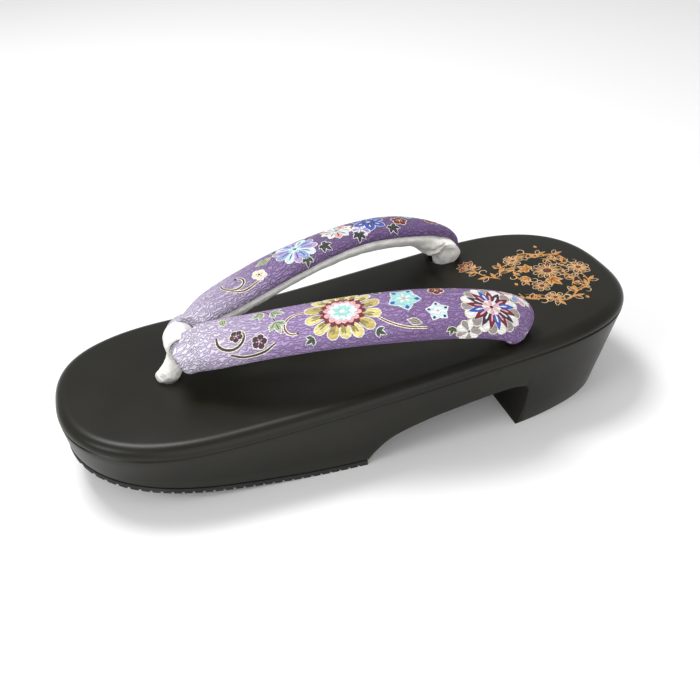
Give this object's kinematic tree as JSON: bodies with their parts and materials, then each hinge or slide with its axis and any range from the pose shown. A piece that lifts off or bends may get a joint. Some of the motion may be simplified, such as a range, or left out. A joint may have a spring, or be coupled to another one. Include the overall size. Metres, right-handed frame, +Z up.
{
  "type": "geta sandal",
  "caption": "Lacquered wooden geta sandal with an arched sole, a low heel block, a ribbed rubber forefoot sheet and a padded V strap held by a toe thong.",
  "frame": {"origin": "middle of the sole on the floor", "axes": "+Z up, +Y from the toe to the heel, +X to the side that the picture shows"},
  "size_m": [0.096, 0.24, 0.066],
  "materials": {
    "black_lacquer": "satin black lacquer",
    "black_rubber": "matte, ribbed",
    "purple_cover": "crinkled, printed",
    "white_flannel": "soft napped cloth"
  },
  "bodies": {
    "root": {"sole_base": "black_lacquer", "front_outsole": "black_rubber", "strap_cover": "purple_cover", "left_lining": "white_flannel", "right_lining": "white_flannel", "toe_thong": "white_flannel"}
  },
  "joints": []
}
